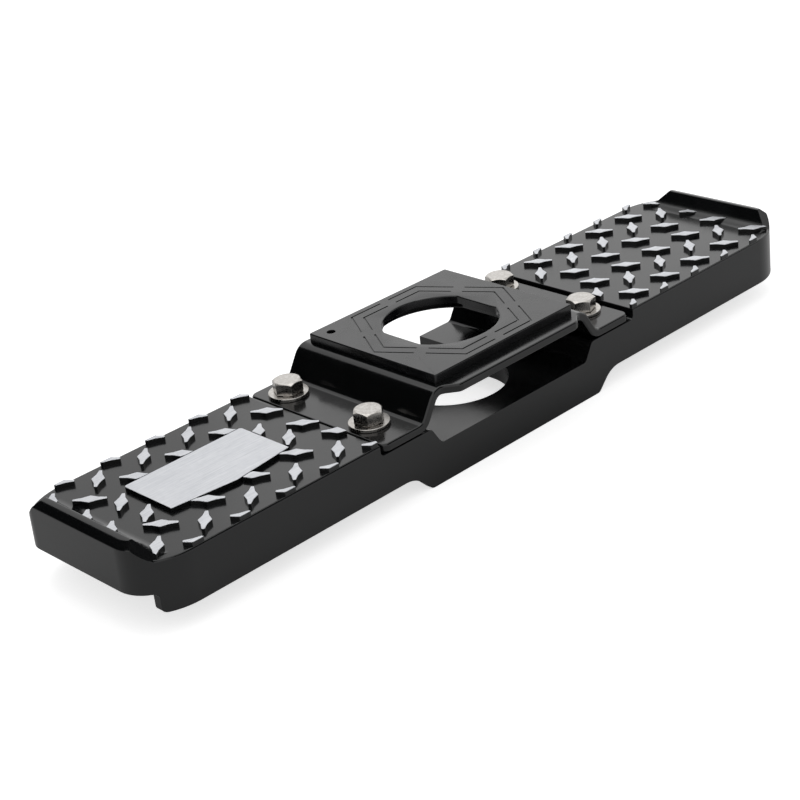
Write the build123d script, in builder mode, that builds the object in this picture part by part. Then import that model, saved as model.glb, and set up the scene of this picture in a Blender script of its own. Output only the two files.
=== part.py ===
import os
from math import atan, degrees, floor, radians, tan

from build123d import *

os.makedirs("parts", exist_ok=True)

# Casting: outline
body_length = 607.6
body_width = 129.2
back_corner_length = 20.2
back_corner_width = 13.4
back_corner_side_radius = 48
back_corner_end_radius = 15
front_corner_length = 21.3
front_corner_width = 16
front_corner_side_radius = 42
front_corner_end_radius = 23
wall_draft = 0.7
tread_height = 47.5
tread_edge_chamfer = 0.9
plate_thickness = 5
wall_thickness = 5

# Casting: skirts, measured up from the lowest edge of the centre
wing_base = 13.4
end_base = 26.4
end_step_inset = 12.4
end_step_outer_radius = 3
end_step_inner_radius = 3
centre_half = 82
centre_rise_angle = 45
centre_lower_radius = 5
centre_upper_radius = 20

# Casting: trough for the ball mount and seats for the bracket feet
floor_height = 27.5
floor_half = 69.8
floor_thickness = 7
trough_top_half = 77.4
trough_radius = 4
seat_height = 40
seat_end_x = 121.5
seat_radius = 3

# Casting: upturned lip at each end
lip_height = 59.3
lip_shoulder = 55.3
lip_outer_inset = 5
lip_inner_inset = 9.3
lip_foot_inset = 17.5
lip_fillet = 14
lip_top_radius = 1.5
lip_shoulder_radius = 2
lip_back_y = 38
lip_front_y = -44.5

# Casting: U slot in the trough floor, open at the back
slot_radius = 39
slot_centre_y = -4.5
slot_rim_height = 15
slot_rim_thickness = 5

# Casting: ribs and bosses underneath
rib_thickness = 4
wing_rib_base = 28
wing_rib_count = 3
centre_rib_x = 59
centre_rib_base = 8
boss_radius = 16
boss_base = 33

# Casting: raised lugs. Each row of a wing has the distance of its first lug past the seat,
# its distance from the long edge, the side (1 back, -1 front) and the way the lugs lean
lug_length = 21
lug_width = 8.6
lug_tip = 1.9
lug_waist = 3.9
lug_waist_x = 5.2
lug_height = 2.9
lug_pitch = 34.9
lug_turn = 45
lug_margin = 1.1
lug_lip_run = 2
outer_lug_rows = (
    (26.8, 18.4, 1, -1),
    (20.4, 16, -1, -1),
    (10.6, 35.4, 1, 1),
    (9.5, 0.6, 1, 1),
    (3.3, 34.5, -1, 1),
    (1.4, 0, -1, 1),
)
inner_lug_rows = ((26.8, 53.5, 1, -1), (20.6, 51.5, -1, -1))

# Casting: raised bare plate on the left wing, and the lugs beside it measured from its middle
plate_length = 92
plate_back_y = 24.5
plate_front_y = -21.5
plate_point_y = -27
plate_corner_cut = 1.2
plate_gap = 0.6
plate_side_lugs = (
    (-58.7, 10.2, -1),
    (-57.9, -13.6, -1),
    (-83.5, 12, -1),
    (-83, -11.6, -1),
    (49.4, 11.2, -1),
    (55, -11.2, -1),
    (73.5, -3.4, 1),
)

# Bracket strap
strap_thickness = 6
strap_top = 65
strap_side_inset = 0.7
strap_bend_radius = 9
strap_leg_angle = 58
strap_leg_x = 76.8
strap_leg_z = 52
foot_end_x = 118.6
foot_corner_radius = 6
tongue_length = 7.9
tongue_half = 56
tongue_root_half = 65
tongue_radius = 7
strap_edge_chamfer = 1
strap_hole_margin = 5

# Pad on the bracket
pad_length = 130.4
pad_side_inset = 5.6
pad_thickness = 6
pad_corner_radius = 1.5
pad_edge_chamfer = 0.6
ball_radius = 39.3
ball_flat_half = 35.2
hex_outer_radius = 62.4
hex_inner_radius = 53.7
hex_line_width = 1.2
hex_line_depth = 0.6
hex_break = 8
hex_break_turns = (30, 90, 150)
hex_sides = 6
dish_radius = 52.2
dish_depth = 0.7
dish_slope = 85
pin_hole_x = -55
pin_hole_y = 48
pin_hole_radius = 3
pin_hole_depth = 4

# Fasteners, M12
bolt_x = 102.2
bolt_front_inset = 30.3
bolt_back_inset = 22.6
bolt_diameter = 12
bolt_length = 35
bolt_end_chamfer = 1.2
hex_across = 18
head_height = 8.6
head_bevel_angle = 60
hole_diameter = 13.5
washer_diameter = 27
washer_thickness = 2.4
nut_height = 12
nut_hex_height = 8.4
nut_collar_diameter = 16.8
nut_edge_chamfer = 0.4
nut_thread_gap = 0.25
ring_height = 2.6
ring_outer_diameter = 14.8
ring_seat_gap = 0.1

# Sizes that follow from the ones above
cut_over = 1
inner_length = body_length - 2 * wall_thickness
inner_width = body_width - 2 * wall_thickness
rib_span = inner_width + wall_thickness
tread_under = tread_height - plate_thickness
seat_under = seat_height - plate_thickness
floor_under = floor_height - floor_thickness
seat_inner_end = seat_end_x + wall_thickness
wing_rib_gap = (inner_length / 2 - seat_inner_end) / (wing_rib_count + 1)
long_rib_x = (seat_inner_end + inner_length / 2) / 2
long_rib_length = inner_length / 2 - seat_inner_end + wall_thickness
lip_rise = lip_height - lip_shoulder
lip_bevel = degrees(atan(lip_outer_inset / lip_rise))
lip_root = tread_height - plate_thickness / 2
lip_run = lip_height - lip_root
lip_inner_x = body_length / 2 - lip_inner_inset
lip_foot_x = body_length / 2 - lip_foot_inset
end_step_x = body_length / 2 - end_step_inset
plate_x = -(seat_end_x + lip_foot_x) / 2
centre_top_x = centre_half + wing_base / tan(radians(centre_rise_angle))
tread_inset = tread_height * tan(radians(wall_draft)) + lug_margin
rim_radius = slot_radius + slot_rim_thickness
slot_reach = body_width / 2 - slot_centre_y
bolt_front_y = bolt_front_inset - body_width / 2
bolt_back_y = body_width / 2 - bolt_back_inset
strap_half_width = body_width / 2 - strap_side_inset
tongue_reach = strap_half_width + tongue_length
pad_width = body_width - 2 * pad_side_inset
strap_hole_radius = ball_radius + strap_hole_margin
strap_hole_half = ball_flat_half + strap_hole_margin
foot_mid_z = seat_height + strap_thickness / 2
strap_mid_z = strap_top - strap_thickness / 2
leg_run = tan(radians(90 - strap_leg_angle))
leg_foot_x = strap_leg_x + (strap_leg_z - foot_mid_z) * leg_run
leg_top_x = strap_leg_x - (strap_mid_z - strap_leg_z) * leg_run
pad_top = strap_top + pad_thickness
foot_top = seat_height + strap_thickness
head_seat = foot_top + washer_thickness
nut_seat = boss_base - washer_thickness
nut_bottom = nut_seat - nut_height
nut_bore_radius = bolt_diameter / 2 + nut_thread_gap
ring_pocket_depth = ring_height + nut_edge_chamfer

bolt_places = {
    "left_front": (-bolt_x, bolt_front_y),
    "left_back": (-bolt_x, bolt_back_y),
    "right_front": (bolt_x, bolt_front_y),
    "right_back": (bolt_x, bolt_back_y),
}

profile_points = (
    (0, 0),
    (centre_half, 0),
    (centre_top_x, wing_base),
    (end_step_x, wing_base),
    (end_step_x, end_base),
    (body_length / 2, end_base),
    (body_length / 2, tread_height),
    (seat_end_x, tread_height),
    (seat_end_x, seat_height),
    (trough_top_half, seat_height),
    (floor_half, floor_height),
    (0, floor_height),
)
profile_rounds = (
    ((centre_half, 0), centre_lower_radius),
    ((centre_top_x, wing_base), centre_upper_radius),
    ((end_step_x, wing_base), end_step_outer_radius),
    ((end_step_x, end_base), end_step_inner_radius),
    ((seat_end_x, seat_height), seat_radius),
    ((trough_top_half, seat_height), trough_radius),
    ((floor_half, floor_height), trough_radius),
)

# Lug places as x and y, kept apart by which way the long axis turns
lug_rows = [(1, row) for row in outer_lug_rows + inner_lug_rows]
lug_rows += [(-1, row) for row in outer_lug_rows]
lug_places = {-lug_turn: [], lug_turn: []}
for wing, (seat_gap, edge_gap, side, lean) in lug_rows:
    first_x = seat_end_x + seat_gap
    row_y = side * (body_width / 2 - edge_gap)
    for step in range(floor((lip_inner_x - first_x) / lug_pitch) + 1):
        lug_places[wing * lean * lug_turn].append((wing * (first_x + step * lug_pitch), row_y))
for lug_x, lug_y, lean in plate_side_lugs:
    lug_places[-lean * lug_turn].append((plate_x + lug_x, lug_y))

# Plan of the casting: the long walls curve in gently, then turn tightly into the ends
plan_turns = (
    ((body_length / 2 - front_corner_length, -body_width / 2), front_corner_side_radius),
    ((body_length / 2, front_corner_width - body_width / 2), front_corner_end_radius),
    ((body_length / 2, body_width / 2 - back_corner_width), back_corner_end_radius),
    ((body_length / 2 - back_corner_length, body_width / 2), back_corner_side_radius),
)
with BuildSketch() as plan_outline:
    with BuildLine():
        plan_points = [turn for turn, radius in plan_turns]
        Polyline((0, -body_width / 2), *plan_points, (0, body_width / 2), close=True)
    make_face()
    for turn, radius in plan_turns:
        fillet(vertices().sort_by_distance(turn)[0], radius)
    mirror(about=Plane.YZ)

# Outer envelope of the casting: drafted walls, then the bevel that caps the lips
with BuildPart() as envelope:
    extrude(plan_outline.sketch, amount=lip_shoulder, taper=wall_draft)
    shoulder = faces().sort_by(Axis.Z)[-1]
    extrude(shoulder, amount=lip_rise, taper=lip_bevel)
    fillet(edges().group_by(Axis.Z)[-3], lip_shoulder_radius)
    fillet(edges().group_by(Axis.Z)[-1], lip_top_radius)

# Hollow under the casting
with BuildPart() as hollow:
    with BuildSketch(Plane.XZ):
        with BuildLine():
            Polyline(
                (0, -cut_over),
                (inner_length / 2, -cut_over),
                (inner_length / 2, tread_under),
                (seat_inner_end, tread_under),
                (seat_inner_end, seat_under),
                (trough_top_half + wall_thickness, seat_under),
                (floor_half + wall_thickness, floor_under),
                (0, floor_under),
                close=True,
            )
        make_face()
        mirror(about=Plane.YZ)
    extrude(amount=inner_width / 2, both=True)
    with BuildSketch(Plane.XY.offset(-cut_over)):
        offset(plan_outline.sketch, -wall_thickness)
    extrude(amount=tread_height, taper=wall_draft, mode=Mode.INTERSECT)

# Lips on both ends, bevelled by the envelope and sloped off towards the corners
with BuildPart() as lips:
    with BuildSketch(Plane.XZ):
        with BuildLine():
            Polyline(
                (body_length / 2, lip_root),
                (body_length / 2, lip_height),
                (lip_inner_x, lip_height),
                (lip_foot_x, tread_height),
                (lip_foot_x - lip_fillet, tread_height),
                (lip_foot_x - lip_fillet, lip_root),
                close=True,
            )
        make_face()
        fillet(vertices().sort_by_distance((lip_foot_x, tread_height))[0], lip_fillet)
        fillet(vertices().sort_by_distance((lip_inner_x, lip_height))[0], lip_top_radius)
        mirror(about=Plane.YZ)
    extrude(amount=body_width / 2, both=True)
    add(envelope.part, mode=Mode.INTERSECT)
    with BuildSketch(Plane.YZ):
        with BuildLine():
            Polyline(
                (lip_back_y + lip_run, lip_root),
                (lip_back_y, lip_height),
                (lip_front_y, lip_height),
                (lip_front_y - lip_run, lip_root),
                close=True,
            )
        make_face()
    extrude(amount=body_length / 2, both=True, mode=Mode.INTERSECT)

# Raised plate outline
with BuildSketch(Plane.XY.offset(tread_height)) as plate_outline:
    with BuildLine():
        Polyline(
            (plate_x - plate_length / 2, plate_back_y),
            (plate_x + plate_length / 2, plate_back_y),
            (plate_x + plate_length / 2, plate_front_y),
            (plate_x, plate_point_y),
            (plate_x - plate_length / 2, plate_front_y),
            close=True,
        )
    make_face()
    chamfer(vertices().group_by(Axis.Y)[-1], plate_corner_cut)

# Lugs cut back at the tread edges, the lips, the seats and the plate
with BuildSketch(Plane.XY.offset(tread_height)) as lug_outlines:
    for turn, places in lug_places.items():
        with Locations(*places):
            Polygon(
                (lug_length / 2, lug_tip / 2),
                (lug_waist_x, lug_waist / 2),
                (0, lug_width / 2),
                (-lug_waist_x, lug_waist / 2),
                (-lug_length / 2, lug_tip / 2),
                (-lug_length / 2, -lug_tip / 2),
                (-lug_waist_x, -lug_waist / 2),
                (0, -lug_width / 2),
                (lug_waist_x, -lug_waist / 2),
                (lug_length / 2, -lug_tip / 2),
                rotation=turn,
            )
    add(offset(plan_outline.sketch, -tread_inset, mode=Mode.PRIVATE), mode=Mode.INTERSECT)
    Rectangle(2 * (lip_foot_x + lug_lip_run), body_width, mode=Mode.INTERSECT)
    Rectangle(2 * (seat_end_x + plate_gap), body_width, mode=Mode.SUBTRACT)
    add(offset(plate_outline.sketch_local, plate_gap, mode=Mode.PRIVATE), mode=Mode.SUBTRACT)

# Step casting
with BuildPart() as step_body:
    with BuildSketch(Plane.XZ):
        with BuildLine():
            Polyline(*profile_points, close=True)
        make_face()
        for corner, radius in profile_rounds:
            fillet(vertices().sort_by_distance(corner)[0], radius)
        mirror(about=Plane.YZ)
    extrude(amount=body_width / 2, both=True)
    add(envelope.part, mode=Mode.INTERSECT)
    chamfer(edges().group_by(Axis.Z)[-1].filter_by(Axis.X), tread_edge_chamfer)
    add(lips.part)
    add(hollow.part, mode=Mode.SUBTRACT)
    with BuildSketch(Plane.XY.offset(wing_rib_base)):
        for rib in range(wing_rib_count):
            rib_x = seat_inner_end + (rib + 1) * wing_rib_gap
            with Locations((rib_x, 0), (-rib_x, 0)):
                Rectangle(rib_thickness, rib_span)
        with Locations((long_rib_x, 0), (-long_rib_x, 0)):
            Rectangle(long_rib_length, rib_thickness)
    extrude(amount=tread_height - plate_thickness / 2 - wing_rib_base)
    with BuildSketch(Plane.XY.offset(centre_rib_base)):
        with Locations((centre_rib_x, 0), (-centre_rib_x, 0)):
            Rectangle(rib_thickness, rib_span)
    extrude(amount=floor_height - floor_thickness / 2 - centre_rib_base)
    with BuildSketch(Plane.XY.offset(boss_base)):
        with Locations(*bolt_places.values()):
            Circle(boss_radius)
    extrude(amount=seat_height - plate_thickness / 2 - boss_base)
    with BuildSketch(Plane.XY.offset(floor_height - slot_rim_height)):
        with Locations((0, slot_centre_y)):
            Circle(rim_radius)
            Rectangle(2 * rim_radius, slot_reach - wall_thickness / 2, align=(Align.CENTER, Align.MIN))
    extrude(amount=slot_rim_height - floor_thickness / 2)
    with BuildSketch(Plane.XY.offset(-cut_over)):
        with Locations((0, slot_centre_y)):
            Circle(slot_radius)
            Rectangle(2 * slot_radius, slot_reach + cut_over, align=(Align.CENTER, Align.MIN))
    extrude(amount=floor_height + 2 * cut_over, mode=Mode.SUBTRACT)
    with Locations(*[(bolt_at[0], bolt_at[1], seat_height) for bolt_at in bolt_places.values()]):
        Hole(hole_diameter / 2)
    extrude(lug_outlines.sketch, amount=lug_height)
    extrude(plate_outline.sketch, amount=lug_height)

step_body.part.label = "step_body"
export_step(step_body.part, "parts/step_body.step")

# Bent strap bracket
with BuildPart() as clamp_bracket:
    with BuildSketch(Plane.XZ):
        with BuildLine():
            FilletPolyline(
                (-foot_end_x, foot_mid_z),
                (-leg_foot_x, foot_mid_z),
                (-leg_top_x, strap_mid_z),
                (leg_top_x, strap_mid_z),
                (leg_foot_x, foot_mid_z),
                (foot_end_x, foot_mid_z),
                radius=strap_bend_radius,
            )
        trace(line_width=strap_thickness)
    extrude(amount=tongue_reach, both=True)
    with BuildSketch(Plane.XY.offset(seat_height)):
        with BuildLine():
            Polyline(
                (0, strap_half_width),
                (foot_end_x, strap_half_width),
                (foot_end_x, -strap_half_width),
                (tongue_root_half, -strap_half_width),
                (tongue_half, -tongue_reach),
                (0, -tongue_reach),
                close=True,
            )
        make_face()
        fillet(vertices().group_by(Axis.X)[-1], foot_corner_radius)
        fillet(vertices().sort_by_distance((tongue_root_half, -strap_half_width))[0], tongue_radius)
        fillet(vertices().sort_by_distance((tongue_half, -tongue_reach))[0], tongue_radius)
        mirror(about=Plane.YZ)
        with BuildSketch(mode=Mode.SUBTRACT):
            Circle(strap_hole_radius)
            Rectangle(2 * strap_hole_half, 2 * strap_hole_radius, mode=Mode.INTERSECT)
        with Locations(*bolt_places.values()):
            Circle(hole_diameter / 2, mode=Mode.SUBTRACT)
    extrude(amount=strap_top - seat_height, mode=Mode.INTERSECT)
    chamfer(edges(), strap_edge_chamfer)

clamp_bracket.part.label = "clamp_bracket"
export_step(clamp_bracket.part, "parts/clamp_bracket.step")

# Pad with the double-D hole and the two hexagon lines
with BuildPart() as top_pad:
    with BuildSketch(Plane.XY.offset(strap_top)):
        RectangleRounded(pad_length, pad_width, pad_corner_radius)
    extrude(amount=pad_thickness)
    chamfer(faces().sort_by(Axis.Z)[-1].edges(), pad_edge_chamfer)
    with BuildSketch(Plane.XY.offset(pad_top)):
        RegularPolygon(dish_radius, hex_sides)
    extrude(amount=-dish_depth, taper=dish_slope, mode=Mode.SUBTRACT)
    with BuildSketch(Plane.XY.offset(pad_top)):
        for line_radius in (hex_outer_radius, hex_inner_radius):
            RegularPolygon(line_radius, hex_sides)
            RegularPolygon(line_radius - hex_line_width, hex_sides, mode=Mode.SUBTRACT)
        for turn in hex_break_turns:
            Rectangle(2 * hex_outer_radius, hex_break, rotation=turn, mode=Mode.SUBTRACT)
    extrude(amount=-hex_line_depth, mode=Mode.SUBTRACT)
    with BuildSketch(Plane.XY.offset(strap_top)):
        Circle(ball_radius)
        Rectangle(2 * ball_flat_half, 2 * ball_radius, mode=Mode.INTERSECT)
    extrude(amount=pad_thickness, mode=Mode.SUBTRACT)
    with Locations((pin_hole_x, pin_hole_y, pad_top)):
        Hole(pin_hole_radius, depth=pin_hole_depth)

top_pad.part.label = "top_pad"
export_step(top_pad.part, "parts/top_pad.step")

# Fasteners at the four bolt places
for place, (at_x, at_y) in bolt_places.items():
    with BuildPart() as bolt:
        with BuildSketch(Plane.XY.offset(head_seat)):
            with Locations((at_x, at_y)):
                RegularPolygon(hex_across / 2, hex_sides, major_radius=False)
        extrude(amount=head_height)
        with BuildSketch(Plane.XY.offset(head_seat + head_height)):
            with Locations((at_x, at_y)):
                Circle(hex_across / 2)
        extrude(amount=-head_height, taper=-head_bevel_angle, mode=Mode.INTERSECT)
        with BuildSketch(Plane.XY.offset(head_seat)):
            with Locations((at_x, at_y)):
                Circle(bolt_diameter / 2)
        extrude(amount=-bolt_length)
        chamfer(faces().sort_by(Axis.Z)[0].edges(), bolt_end_chamfer)
    bolt.part.label = "bolt_" + place
    export_step(bolt.part, "parts/bolt_" + place + ".step")

    for kind, washer_base in (("head_washer_", foot_top), ("nut_washer_", nut_seat)):
        with BuildPart() as washer:
            with BuildSketch(Plane.XY.offset(washer_base)):
                with Locations((at_x, at_y)):
                    Circle(washer_diameter / 2)
                    Circle(hole_diameter / 2, mode=Mode.SUBTRACT)
            extrude(amount=washer_thickness)
        washer.part.label = kind + place
        export_step(washer.part, "parts/" + kind + place + ".step")

    with BuildPart() as nut:
        with BuildSketch(Plane.XY.offset(nut_seat)):
            with Locations((at_x, at_y)):
                RegularPolygon(hex_across / 2, hex_sides, major_radius=False)
        extrude(amount=-nut_hex_height)
        with BuildSketch(Plane.XY.offset(nut_seat)):
            with Locations((at_x, at_y)):
                Circle(nut_collar_diameter / 2)
        extrude(amount=-nut_height)
        chamfer(faces().sort_by(Axis.Z)[0].edges(), nut_edge_chamfer)
        with BuildSketch(Plane.XY.offset(nut_seat)):
            with Locations((at_x, at_y)):
                Circle(nut_bore_radius)
        extrude(amount=-nut_height, mode=Mode.SUBTRACT)
        with BuildSketch(Plane.XY.offset(nut_bottom)):
            with Locations((at_x, at_y)):
                Circle(ring_outer_diameter / 2)
        extrude(amount=ring_pocket_depth, mode=Mode.SUBTRACT)
    nut.part.label = "nut_" + place
    export_step(nut.part, "parts/nut_" + place + ".step")

    with BuildPart() as nut_ring:
        with BuildSketch(Plane.XY.offset(nut_bottom + ring_pocket_depth)):
            with Locations((at_x, at_y)):
                Circle(ring_outer_diameter / 2 - ring_seat_gap)
                Circle(nut_bore_radius, mode=Mode.SUBTRACT)
        extrude(amount=-ring_height)
    nut_ring.part.label = "nut_ring_" + place
    export_step(nut_ring.part, "parts/nut_ring_" + place + ".step")
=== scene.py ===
import math

import bpy
from mathutils import Matrix, Vector


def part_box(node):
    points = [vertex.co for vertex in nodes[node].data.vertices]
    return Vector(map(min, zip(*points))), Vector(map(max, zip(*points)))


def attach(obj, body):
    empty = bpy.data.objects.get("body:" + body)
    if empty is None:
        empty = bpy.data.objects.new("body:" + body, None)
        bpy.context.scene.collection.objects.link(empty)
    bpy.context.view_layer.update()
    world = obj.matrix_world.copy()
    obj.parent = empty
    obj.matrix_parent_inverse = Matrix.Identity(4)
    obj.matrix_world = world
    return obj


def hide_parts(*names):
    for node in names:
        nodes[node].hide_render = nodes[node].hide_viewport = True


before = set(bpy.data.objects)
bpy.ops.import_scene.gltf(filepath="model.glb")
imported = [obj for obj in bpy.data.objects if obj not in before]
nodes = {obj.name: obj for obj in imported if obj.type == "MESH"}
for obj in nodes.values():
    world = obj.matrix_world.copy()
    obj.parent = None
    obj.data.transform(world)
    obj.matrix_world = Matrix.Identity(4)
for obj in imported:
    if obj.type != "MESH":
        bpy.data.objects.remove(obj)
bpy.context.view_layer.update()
scene = bpy.context.scene
scene.view_settings.view_transform = "Standard"
mm = 0.001
levelTilt = 0.99  # a face whose normal is this upright counts as level
places = ["left_front", "left_back", "right_front", "right_back"]
print("frame loaded,", len(nodes), "nodes")


def colour(hexCode):  # sRGB hex to linear RGBA
    parts = [int(hexCode[i:i + 2], 16) / 255 for i in (1, 3, 5)]
    return [c / 12.92 if c <= 0.04045 else ((c + 0.055) / 1.055) ** 2.4 for c in parts] + [1]


def addNode(tree, kind, settings={}, values={}, links={}):
    node = tree.nodes.new(kind)
    for name, value in settings.items():
        setattr(node, name, value)
    for socket, value in values.items():
        node.inputs[socket].default_value = value
    for socket, source in links.items():
        tree.links.new(source, node.inputs[socket])
    return node


def addNoise(tree, place, size, detail, roughness=0.5):  # clouds about as large as size, in mm
    return addNode(tree, "ShaderNodeTexNoise", values={
        "Scale": 1 / (size * mm), "Detail": detail, "Roughness": roughness,
    }, links={"Vector": place}).outputs["Fac"]


def addRange(tree, value, given, wanted=(0, 1)):  # one range of values stretched to another
    return addNode(tree, "ShaderNodeMapRange", values={
        "From Min": given[0], "From Max": given[1], "To Min": wanted[0], "To Max": wanted[1],
    }, links={"Value": value}).outputs["Result"]


def addTint(tree, share, first, second):  # blend of two colours
    return addNode(tree, "ShaderNodeMix", {"data_type": "RGBA"},
                   {6: colour(first), 7: colour(second)}, {0: share}).outputs[2]


def addBump(tree, pattern, height, links={}):  # height in mm
    return addNode(tree, "ShaderNodeBump", values={"Distance": height * mm},
                   links={"Height": pattern, **links}).outputs["Normal"]


def addSurface(tree, values, links):
    shader = addNode(tree, "ShaderNodeBsdfPrincipled", values=values, links=links)
    addNode(tree, "ShaderNodeOutputMaterial", links={"Surface": shader.outputs["BSDF"]})


def newMaterial(name):
    material = bpy.data.materials.new(name)
    material.use_nodes = True
    material.node_tree.nodes.clear()
    return material, material.node_tree


def dropEdit():
    if bpy.context.mode != "OBJECT":
        bpy.ops.object.mode_set(mode="OBJECT")


def pick(*pieces):
    dropEdit()
    bpy.ops.object.select_all(action="DESELECT")
    for piece in pieces:
        piece.select_set(True)
    bpy.context.view_layer.objects.active = pieces[0]


def editAll(piece):  # edit mode with everything selected
    pick(piece)
    bpy.ops.object.mode_set(mode="EDIT")
    bpy.ops.mesh.select_all(action="SELECT")


def editFaces(piece, wanted):  # edit mode with only the wanted faces selected
    editAll(piece)
    bpy.ops.mesh.select_mode(type="FACE")
    bpy.ops.mesh.select_all(action="DESELECT")
    dropEdit()
    for face in piece.data.polygons:
        face.select = wanted(face)
    bpy.ops.object.mode_set(mode="EDIT")


def applyModifier(piece, kind, settings):
    pick(piece)
    modifier = piece.modifiers.new(kind.lower(), kind)
    for name, value in settings.items():
        setattr(modifier, name, value)
    bpy.ops.object.modifier_apply(modifier=modifier.name)


softening = {"sliver": 0.01, "flatWeight": 100}  # mm, and the weight that keeps flat faces flat


def softenEdges(piece, width, segments, sharpAngle, share=lambda spot: 1):  # outer edges only
    points = piece.data.vertices
    sides = {}
    for face in piece.data.polygons:
        for start, end in zip(face.vertices, face.vertices[1:] + face.vertices[:1]):
            inward = face.normal.cross(points[end].co - points[start].co)
            sides.setdefault((min(start, end), max(start, end)), []).append((face.normal, inward))
    weight = piece.data.attributes.new("bevel_weight_edge", "FLOAT", "EDGE").data
    for edge in piece.data.edges:
        (normal, inward), (otherNormal, _) = sides[tuple(sorted(edge.vertices))]
        sharp = normal.angle(otherNormal) > math.radians(sharpAngle) and otherNormal.dot(inward) < 0
        middle = (points[edge.vertices[0]].co + points[edge.vertices[1]].co) / 2
        weight[edge.index].value = share(middle) if sharp else 0
    applyModifier(piece, "BEVEL", {
        "width": width * mm, "segments": segments, "limit_method": "WEIGHT", "use_clamp_overlap": False,
    })
    editAll(piece)
    bpy.ops.mesh.dissolve_degenerate(threshold=softening["sliver"] * mm)
    pick(piece)
    bpy.ops.object.shade_smooth_by_angle(angle=math.radians(sharpAngle))
    applyModifier(piece, "WEIGHTED_NORMAL", {"weight": softening["flatWeight"], "keep_sharp": True})


tracing = {"merge": 0.002, "flat": 0.2}  # mm that make two points one, degrees that make two faces one


def traceNode(nodeName, pieceName, steepest=1):  # a clean copy of a solid, its flat faces made whole
    piece = bpy.data.objects.new(pieceName, nodes[nodeName].data.copy())
    scene.collection.objects.link(piece)
    piece.data.materials.clear()
    pick(piece)
    bpy.ops.mesh.customdata_custom_splitnormals_clear()
    editAll(piece)
    bpy.ops.mesh.remove_doubles(threshold=tracing["merge"] * mm)
    bpy.ops.mesh.select_mode(type="FACE")
    dropEdit()
    for face in piece.data.polygons:
        face.select = abs(face.normal.z) <= steepest
    bpy.ops.object.mode_set(mode="EDIT")
    bpy.ops.mesh.dissolve_limited(angle_limit=math.radians(tracing["flat"]))
    dropEdit()
    return piece


def settle(piece, slotName, *nodeNames):  # ride on the one body and stand for its solids
    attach(piece, "root")
    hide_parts(*nodeNames)


# Gloss black powder coat: baked powder that flowed out, so a deep black with a clear reflection,
# a slow ripple (orange peel) and a fine grain where it covers a cast or rolled face
castingCoat = {
    "name": "gloss_black_powder_coat_on_cast_aluminium", "deep": "#08090a", "dusty": "#101112", "cloud": 45,
    "ripple": 3.2, "rippleHeight": 0.011, "grain": 0.7, "grainHeight": 0.0016, "gloss": (0.13, 0.24),
}
strapCoat = {
    "name": "gloss_black_powder_coat_on_bent_steel", "deep": "#070808", "dusty": "#0d0e0f", "cloud": 30,
    "ripple": 4.5, "rippleHeight": 0.012, "grain": 1.1, "grainHeight": 0.0015, "gloss": (0.12, 0.2),
}
padNylon = {  # moulded black nylon: a satin skin with a spark-eroded grain and handling smudges
    "name": "moulded_black_nylon", "deep": "#08080a", "dusty": "#141516", "cloud": 18,
    "ripple": 6, "rippleHeight": 0.006, "grain": 0.6, "grainHeight": 0.0012, "gloss": (0.2, 0.32),
}
blackFinish = {  # what the three blacks share
    "cloudDetail": 5, "cloudRough": 0.6, "rippleDetail": 1, "grainDetail": 2, "glossSpread": (0.3, 0.75),
    "ior": 1.5,
}


def makeBlackFinish(look):
    material, tree = newMaterial(look["name"])
    place = addNode(tree, "ShaderNodeTexCoord").outputs["Object"]
    cloud = addNoise(tree, place, look["cloud"], blackFinish["cloudDetail"], blackFinish["cloudRough"])
    ripple = addNoise(tree, place, look["ripple"], blackFinish["rippleDetail"])
    grain = addNoise(tree, place, look["grain"], blackFinish["grainDetail"])
    tint = addTint(tree, cloud, look["deep"], look["dusty"])
    gloss = addRange(tree, cloud, blackFinish["glossSpread"], look["gloss"])
    waves = addBump(tree, ripple, look["rippleHeight"])
    skin = addBump(tree, grain, look["grainHeight"], {"Normal": waves})
    addSurface(tree, {"IOR": blackFinish["ior"]}, {"Base Color": tint, "Roughness": gloss, "Normal": skin})
    return material


# Bare aluminium, ground flat after coating: pale grey metal with lines along the belt's run.
# Real grit lines are too fine to show in the render, so these are drawn coarser
groundMetal = {
    "name": "ground_bare_aluminium", "pale": "#d4d5d8", "worn": "#c3c5c9", "turn": 8, "lineLength": 26,
    "lineWidth": 0.8, "lineDetail": 3, "lineHeight": 0.002, "patch": 4, "patchDetail": 3, "patchShare": 0.4,
    "tintSpread": (0.45, 0.95), "glossSpread": (0.3, 0.7), "gloss": (0.42, 0.58),
}


def makeGroundMetal(look):
    material, tree = newMaterial(look["name"])
    place = addNode(tree, "ShaderNodeTexCoord").outputs["Object"]
    along, across = 1 / (look["lineLength"] * mm), 1 / (look["lineWidth"] * mm)
    stretched = addNode(tree, "ShaderNodeMapping", values={
        "Rotation": (0, 0, math.radians(look["turn"])), "Scale": (along, across, across),
    }, links={"Vector": place}).outputs["Vector"]
    lines = addNoise(tree, stretched, 1 / mm, look["lineDetail"])  # sized by the mapping already
    patch = addNoise(tree, place, look["patch"], look["patchDetail"])
    mixed = addNode(tree, "ShaderNodeMath", {"operation": "MULTIPLY_ADD"}, {1: look["patchShare"]},
                    {0: patch, 2: lines}).outputs[0]
    tint = addTint(tree, addRange(tree, mixed, look["tintSpread"]), look["pale"], look["worn"])
    gloss = addRange(tree, lines, look["glossSpread"], look["gloss"])
    scored = addBump(tree, lines, look["lineHeight"])
    addSurface(tree, {"Metallic": 1}, {"Base Color": tint, "Roughness": gloss, "Normal": scored})
    return material


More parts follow.
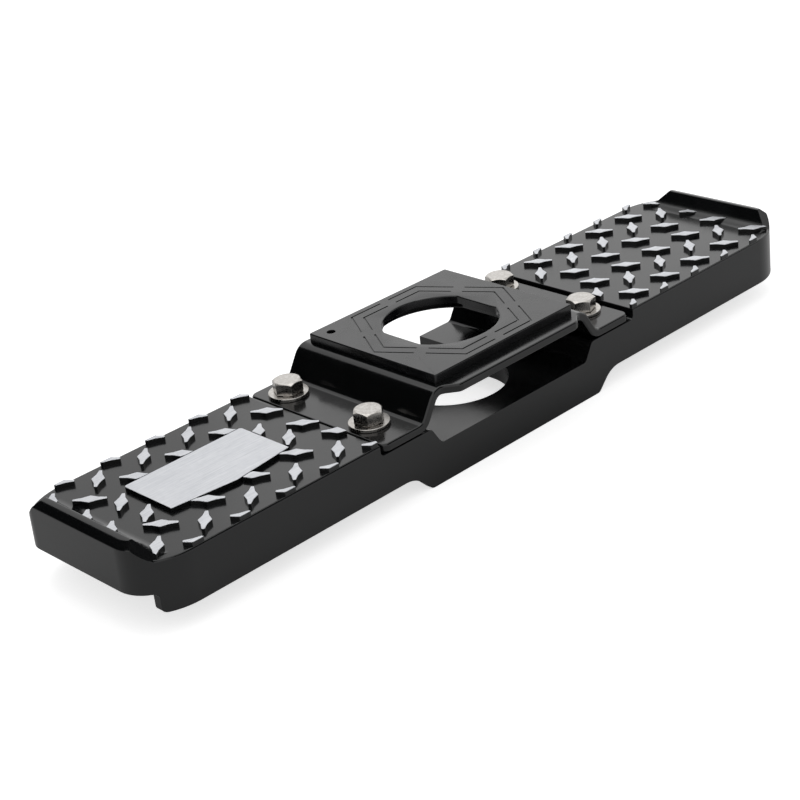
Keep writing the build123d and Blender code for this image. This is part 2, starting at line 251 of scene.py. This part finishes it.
# Bright zinc plate on steel: warm grey metal, slightly mottled by the bath, soft highlights
zincPlate = {
    "name": "zinc_plated_steel", "pale": "#bfbcb8", "mottle": "#aaa6a1", "patch": 2.6, "patchDetail": 4,
    "patchRough": 0.65, "tintSpread": (0.35, 0.7), "glossSpread": (0.3, 0.7), "gloss": (0.18, 0.3),
    "grain": 0.35, "grainDetail": 2, "grainHeight": 0.0005,
}


def makeZincPlate(look):
    material, tree = newMaterial(look["name"])
    place = addNode(tree, "ShaderNodeTexCoord").outputs["Object"]
    patch = addNoise(tree, place, look["patch"], look["patchDetail"], look["patchRough"])
    grain = addNoise(tree, place, look["grain"], look["grainDetail"])
    tint = addTint(tree, addRange(tree, patch, look["tintSpread"]), look["pale"], look["mottle"])
    gloss = addRange(tree, patch, look["glossSpread"], look["gloss"])
    skin = addBump(tree, grain, look["grainHeight"])
    addSurface(tree, {"Metallic": 1}, {"Base Color": tint, "Roughness": gloss, "Normal": skin})
    return material


# Natural nylon, turned from rod: milky off-white, a little cloudy and uneven, with a soft sheen
ringNylon = {
    "name": "turned_natural_nylon", "pale": "#dddcd4", "shade": "#c6c5bb", "patch": 1.5, "patchDetail": 3,
    "grainHeight": 0.01, "rough": 0.42, "ior": 1.53,
}


def makeRingNylon(look):
    material, tree = newMaterial(look["name"])
    place = addNode(tree, "ShaderNodeTexCoord").outputs["Object"]
    patch = addNoise(tree, place, look["patch"], look["patchDetail"])
    tint = addTint(tree, patch, look["pale"], look["shade"])
    skin = addBump(tree, patch, look["grainHeight"])
    addSurface(tree, {"Roughness": look["rough"], "IOR": look["ior"]}, {"Base Color": tint, "Normal": skin})
    return material


castingFinish = makeBlackFinish(castingCoat)
strapFinish = makeBlackFinish(strapCoat)
padFinish = makeBlackFinish(padNylon)
groundFinish = makeGroundMetal(groundMetal)
zincFinish = makeZincPlate(zincPlate)
ringFinish = makeRingNylon(ringNylon)
print("finishes made")

# Step casting: cast edges softened, lip crests rolled over, lug and plate tops ground bare
casting = {
    "steepest": 0.9, "edge": 0.35, "edgeSegments": 2, "sharpAngle": 32,
    "groundLow": 50.1, "groundHigh": 50.6, "groundTilt": 0.3, "lipTilt": 0.95,
    "lipWidth": 22, "lipLevel": 47.6, "crestCorner": 5, "crestSlope": 38.7, "crestRadius": 10, "crestCuts": 9,
    "notchStart": 289, "notchDepth": 56, "notchTop": 27.5,
}


def rollCrests(piece):  # the outer corner of each lip's crest becomes a wide round
    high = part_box("step_body")[1]
    level = casting["lipLevel"] * mm
    radius = casting["crestRadius"] * mm
    slope = math.radians(casting["crestSlope"])
    reach = radius * math.tan(slope / 2)
    start = high.x - casting["crestCorner"] * mm - reach
    span = radius * math.sin(slope)
    for side in (-1, 1):
        for cut in range(casting["crestCuts"] + 1):
            editFaces(piece, lambda face: face.center.z > level and side * face.center.x > start - reach)
            place = start + span * cut / casting["crestCuts"]
            bpy.ops.mesh.bisect(plane_co=(side * place, 0, 0), plane_no=(1, 0, 0))
    dropEdit()
    for point in piece.data.vertices:
        along = abs(point.co.x) - start
        if 0 < along < span:
            point.co.z = min(point.co.z, high.z - radius + math.sqrt(radius ** 2 - along ** 2))


def makeCasting():
    piece = traceNode("step_body", "step_casting", casting["steepest"])  # pierced level faces stay triangles
    rollCrests(piece)
    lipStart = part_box("step_body")[1].x - casting["lipWidth"] * mm

    def softShare(spot):  # the lips are round already, and a bevel folds over in the end notch's inner corner
        onLip = abs(spot.x) >= lipStart and spot.z >= casting["lipLevel"] * mm
        inNotch = (abs(spot.x) > casting["notchStart"] * mm and abs(spot.y) < casting["notchDepth"] * mm
                   and spot.z < casting["notchTop"] * mm)
        return 0 if onLip or inNotch else 1

    softenEdges(piece, casting["edge"], casting["edgeSegments"], casting["sharpAngle"], softShare)
    piece.data.materials.append(castingFinish)
    piece.data.materials.append(groundFinish)
    for face in piece.data.polygons:
        tilt = casting["groundTilt"] if abs(face.center.x) < lipStart else casting["lipTilt"]
        if casting["groundLow"] * mm < face.center.z < casting["groundHigh"] * mm and face.normal.z > tilt:
            face.material_index = 1
    settle(piece, "casting", "step_body")


# Strap bracket: plate edges rounded under the coat
strap = {"edge": 0.5, "edgeSegments": 3, "sharpAngle": 30}


def makeStrap():
    piece = traceNode("clamp_bracket", "strap_bracket")
    softenEdges(piece, strap["edge"], strap["edgeSegments"], strap["sharpAngle"])
    piece.data.materials.append(strapFinish)
    settle(piece, "strap", "clamp_bracket")


# Ball pad: the rim of the hole well rounded, the other moulded edges a little
pad = {"rim": 0.8, "rimReach": 41, "rimDepth": 1.5, "edgeShare": 0.25, "edgeSegments": 3, "sharpAngle": 28}


def makePad():
    piece = traceNode("top_pad", "ball_pad")
    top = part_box("top_pad")[1].z

    def rimFirst(spot):
        onRim = spot.xy.length < pad["rimReach"] * mm and spot.z > top - pad["rimDepth"] * mm
        return 1 if onRim else pad["edgeShare"]

    softenEdges(piece, pad["rim"], pad["edgeSegments"], pad["sharpAngle"], rimFirst)
    piece.data.materials.append(padFinish)
    settle(piece, "pad", "top_pad")


makeCasting()
makeStrap()
makePad()
print("casting, strap and pad dressed")

# Hex bolt: forged head with a 30 degree crown, washer face and rolled thread
bolt = {
    "headSides": 6, "headTurn": 30, "crownShare": 0.93, "crownAngle": 60, "crownSides": 96,
    "edge": 0.22, "edgeSegments": 2, "sharpAngle": 25, "smoothAngle": 30,
    "dishInset": 1.6, "dishDepth": 0.18, "dishReach": 0.1,
    "faceHeight": 0.5, "faceShare": 0.93, "faceSides": 72,
    "core": 5.06, "coreSides": 48, "tip": 1.2, "tipRadius": 4.5,
    "turns": {"left_front": -17, "left_back": 3, "right_front": 18, "right_back": 10},  # left by the spanner
}
thread = {"crest": 5.98, "sunk": 0.1, "pitch": 1.75, "windings": 9, "steps": 40, "flank": 0.42, "land": 0.12}


def placeOf(nodeName):  # middle of a solid as seen from above
    low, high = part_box(nodeName)
    return Vector(((low.x + high.x) / 2, (low.y + high.y) / 2, 0))


def copyTo(model, pieceName, offset, turn=0):
    piece = model.copy()
    piece.data = model.data.copy()
    piece.name = pieceName
    scene.collection.objects.link(piece)
    piece.data.transform(Matrix.Translation(offset) @ Matrix.Rotation(math.radians(turn), 4, "Z"))
    return piece


def addPost(sides, radius, base, top, turn=0):  # upright cylinder on the bolt's axis
    middle = (0, 0, (top + base) / 2)
    bpy.ops.mesh.primitive_cylinder_add(vertices=sides, radius=radius, depth=top - base, location=middle,
                                        rotation=(0, 0, math.radians(turn)))
    bpy.ops.object.transform_apply()
    return bpy.context.object


def makeHead(base, top, corner, across):
    head = addPost(bolt["headSides"], corner, base, top, bolt["headTurn"])
    crownTop = across * bolt["crownShare"]
    crownBase = crownTop + (top - base) * math.tan(math.radians(bolt["crownAngle"]))
    bpy.ops.mesh.primitive_cone_add(vertices=bolt["crownSides"], radius1=crownBase, radius2=crownTop,
                                    depth=top - base, location=(0, 0, (top + base) / 2))
    crown = bpy.context.object
    applyModifier(head, "BOOLEAN", {"operation": "INTERSECT", "object": crown, "solver": "EXACT"})
    bpy.data.objects.remove(crown)
    topLevel = top - bolt["dishReach"] * mm
    editFaces(head, lambda face: face.normal.z > levelTilt and face.center.z > topLevel)
    bpy.ops.mesh.inset(thickness=bolt["dishInset"] * mm, depth=-bolt["dishDepth"] * mm)  # shallow forged dish
    dropEdit()
    softenEdges(head, bolt["edge"], bolt["edgeSegments"], bolt["sharpAngle"])
    return head


def makeShank(base, top):
    shank = addPost(bolt["coreSides"], bolt["core"] * mm, base, top)
    editFaces(shank, lambda face: face.normal.z < -levelTilt)  # pointed tip grown from the lower end
    bpy.ops.mesh.extrude_region_move(TRANSFORM_OT_translate={"value": (0, 0, -bolt["tip"] * mm)})
    shrink = bolt["tipRadius"] / bolt["core"]
    bpy.ops.transform.resize(value=(shrink, shrink, 1))
    dropEdit()
    return shank


def makeThread(base):  # one ridge, drawn point by point, wound up the shank and closed at both ends
    rise = thread["pitch"] * mm
    root = (bolt["core"] - thread["sunk"]) * mm
    depth = thread["crest"] * mm - root
    flank, land = rise * thread["flank"], rise * thread["land"]
    bpy.ops.mesh.primitive_plane_add(size=mm, location=(root, 0, base))
    ridge = bpy.context.object
    bpy.ops.object.transform_apply()
    editAll(ridge)
    bpy.ops.mesh.select_mode(type="VERT")
    bpy.ops.mesh.merge(type="CENTER")
    for step in ((depth, 0, flank), (0, 0, land), (-depth, 0, flank)):
        bpy.ops.mesh.extrude_region_move(TRANSFORM_OT_translate={"value": step})
    bpy.ops.mesh.select_all(action="SELECT")
    bpy.ops.mesh.edge_face_add()
    bpy.ops.mesh.delete(type="ONLY_FACE")
    applyModifier(ridge, "SCREW", {"screw_offset": rise, "iterations": thread["windings"],
                                   "steps": thread["steps"], "render_steps": thread["steps"]})
    editAll(ridge)
    bpy.ops.mesh.fill_holes(sides=4)  # the ridge has four corners
    bpy.ops.mesh.select_all(action="SELECT")
    bpy.ops.mesh.normals_make_consistent(inside=False)
    bpy.ops.mesh.select_mode(type="FACE")
    dropEdit()
    return ridge


def makeBoltModel():
    low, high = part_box("bolt_left_front")
    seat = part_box("head_washer_left_front")[1].z
    across = (high.y - low.y) / 2
    headBase = seat + bolt["faceHeight"] * mm
    coreBase = low.z + bolt["tip"] * mm
    head = makeHead(headBase, high.z, (high.x - low.x) / 2, across)
    washerFace = addPost(bolt["faceSides"], across * bolt["faceShare"], seat, headBase)
    shank = makeShank(coreBase, seat)
    pick(head, washerFace, shank, makeThread(coreBase))
    bpy.ops.object.join()
    head.data.materials.clear()
    head.data.materials.append(zincFinish)
    bpy.ops.object.shade_smooth_by_angle(angle=math.radians(bolt["smoothAngle"]))
    return head


def makeBolts():
    model = makeBoltModel()
    for name in places:
        piece = copyTo(model, "hex_bolt_" + name, placeOf("bolt_" + name), bolt["turns"][name])
        settle(piece, "fastener", "bolt_" + name)
    bpy.data.objects.remove(model)


# Flat washers: stamped rings with rolled edges
washer = {"hole": 13.5, "sides": 80, "edge": 0.45, "edgeSegments": 3, "sharpAngle": 40}


def makeWasherModel():
    low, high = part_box("head_washer_left_front")
    radius = (high.x - low.x) / 2
    bpy.ops.mesh.primitive_circle_add(vertices=washer["sides"], radius=radius, fill_type="NGON")
    model = bpy.context.object
    editAll(model)
    bpy.ops.mesh.inset(thickness=radius - washer["hole"] / 2 * mm)
    bpy.ops.mesh.delete(type="FACE")
    bpy.ops.mesh.select_all(action="SELECT")
    bpy.ops.mesh.extrude_region_move(TRANSFORM_OT_translate={"value": (0, 0, high.z - low.z)})
    bpy.ops.mesh.select_all(action="SELECT")
    bpy.ops.mesh.normals_make_consistent(inside=False)
    dropEdit()
    softenEdges(model, washer["edge"], washer["edgeSegments"], washer["sharpAngle"])
    model.data.materials.append(zincFinish)
    return model


def makeWashers():
    model = makeWasherModel()
    for kind in ("head_washer_", "nut_washer_"):
        for name in places:
            lift = Vector((0, 0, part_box(kind + name)[0].z))
            piece = copyTo(model, kind + "ring_" + name, placeOf(kind + name) + lift)
            settle(piece, "fastener", kind + name)
    bpy.data.objects.remove(model)


# Lock nuts and their nylon rings keep the solids' form, with rolled edges
nut = {"edge": 0.2, "ringEdge": 0.25, "edgeSegments": 2, "sharpAngle": 35}


def makeNuts():
    for name in places:
        piece = traceNode("nut_" + name, "lock_nut_" + name)
        softenEdges(piece, nut["edge"], nut["edgeSegments"], nut["sharpAngle"])
        piece.data.materials.append(zincFinish)
        settle(piece, "fastener", "nut_" + name)
        ring = traceNode("nut_ring_" + name, "locking_ring_" + name)
        softenEdges(ring, nut["ringEdge"], nut["edgeSegments"], nut["sharpAngle"])
        ring.data.materials.append(ringFinish)
        settle(ring, "lock_ring", "nut_ring_" + name)


makeBolts()
makeWashers()
makeNuts()
print("fasteners modelled")

# Studio, in metres and degrees: white floor, soft boxes, and two dark flags that keep some reflections deep
studio = {
    "floorSize": 14, "floorWhite": "#e6e6e6", "floorGlow": 0.68, "skyWhite": "#ffffff", "skyLevel": 0.62,
    "rightBox": {"turn": 32, "rise": 20, "far": 1.9, "size": (1.7, 1.3), "watts": 2},
    "topBox": {"turn": 70, "rise": 74, "far": 2.1, "size": (1.6, 1.6), "watts": 7},
    "flagBlack": "#020202",
    "backFlag": {"turn": 138, "far": 1.4, "width": 2.2, "height": 3.0, "lift": 0},
    "frontFlag": {"turn": -62, "far": 2.2, "width": 3.2, "height": 2.4, "lift": 1.0},
}


def aimed(turn, rise, far):  # a place on a ball round the object, and the turn that faces the object
    turn, rise = math.radians(turn), math.radians(rise)
    spot = Vector((math.cos(turn) * math.cos(rise), math.sin(turn) * math.cos(rise), math.sin(rise))) * far
    return spot, (-spot).to_track_quat("-Z", "Y").to_euler()


def makeFloor():  # it glows for the camera only, so that reflections keep its softer paint
    bpy.ops.mesh.primitive_plane_add(size=studio["floorSize"])
    floor = bpy.context.object
    floor.name = "studio_floor"
    material, tree = newMaterial("matt_white_studio_floor")
    paint = addNode(tree, "ShaderNodeBsdfDiffuse", values={"Color": colour(studio["floorWhite"])}).outputs[0]
    glow = addNode(tree, "ShaderNodeEmission", values={"Strength": studio["floorGlow"]}).outputs[0]
    rays = addNode(tree, "ShaderNodeLightPath").outputs
    lit = addNode(tree, "ShaderNodeAddShader", links={0: paint, 1: glow}).outputs[0]
    seen = addNode(tree, "ShaderNodeMixShader", links={0: rays["Is Camera Ray"], 1: paint, 2: lit}).outputs[0]
    addNode(tree, "ShaderNodeOutputMaterial", links={"Surface": seen})
    floor.data.materials.append(material)


def makeSky():  # full white where it is seen or reflected, dimmer as a light
    sky = bpy.data.worlds.new("white_studio")
    sky.use_nodes = True
    tree = sky.node_tree
    tree.nodes.clear()
    rays = addNode(tree, "ShaderNodeLightPath").outputs
    white = colour(studio["skyWhite"])
    dim = addNode(tree, "ShaderNodeBackground",
                  values={"Color": white, "Strength": studio["skyLevel"]}).outputs[0]
    full = addNode(tree, "ShaderNodeBackground", values={"Color": white, "Strength": 1}).outputs[0]
    direct = addNode(tree, "ShaderNodeMath", {"operation": "MAXIMUM"},
                     links={0: rays["Is Camera Ray"], 1: rays["Is Glossy Ray"]}).outputs[0]
    shown = addNode(tree, "ShaderNodeMath", {"operation": "MAXIMUM"},
                    links={0: direct, 1: rays["Is Transmission Ray"]}).outputs[0]
    mixed = addNode(tree, "ShaderNodeMixShader", links={0: shown, 1: dim, 2: full}).outputs[0]
    addNode(tree, "ShaderNodeOutputWorld", links={"Surface": mixed})
    scene.world = sky


def makeSoftBox(name, box):
    spot, turned = aimed(box["turn"], box["rise"], box["far"])
    bpy.ops.object.light_add(type="AREA", location=spot, rotation=turned)
    lamp = bpy.context.object
    lamp.name = name
    lamp.data.shape = "RECTANGLE"
    lamp.data.size, lamp.data.size_y = box["size"]
    lamp.data.energy = box["watts"]


def makeFlag(name, flag):  # seen in reflections only
    spot, turned = aimed(flag["turn"], 0, flag["far"])
    spot.z = flag["height"] / 2 + flag["lift"]
    bpy.ops.mesh.primitive_plane_add(size=1, location=spot, rotation=turned)
    card = bpy.context.object
    card.name = name
    card.scale = (flag["width"], flag["height"], 1)
    material, tree = newMaterial("black_flocked_card")
    cloth = addNode(tree, "ShaderNodeBsdfDiffuse", values={"Color": colour(studio["flagBlack"])})
    addNode(tree, "ShaderNodeOutputMaterial", links={"Surface": cloth.outputs[0]})
    card.data.materials.append(material)
    card.visible_camera = False
    card.visible_diffuse = False
    card.visible_shadow = False


makeFloor()
makeSky()
makeSoftBox("right_soft_box", studio["rightBox"])
makeSoftBox("top_soft_box", studio["topBox"])
makeFlag("back_flag", studio["backFlag"])
makeFlag("front_flag", studio["frontFlag"])
print("studio set")

# Camera: place, lens and sensor in millimetres, angles in degrees, clip in metres
view = {
    "turn": -41.846, "rise": 25.785, "roll": -6.5015, "place": (-777.3, -819.1, 560.0),
    "lens": 83.177, "sensor": 36, "clip": (0.05, 60),
}


def turnOn(axis, angle):
    return Matrix.Rotation(math.radians(angle), 3, axis)


bpy.ops.object.camera_add(location=[v * mm for v in view["place"]])
camera = bpy.context.object
aim = turnOn("Z", view["turn"]) @ turnOn("X", 90 - view["rise"]) @ turnOn("Z", view["roll"])
camera.rotation_euler = aim.to_euler()
camera.data.lens = view["lens"]
camera.data.sensor_width = view["sensor"]
camera.data.clip_start, camera.data.clip_end = view["clip"]
scene.camera = camera
print("camera placed")

bpy.context.view_layer.update()
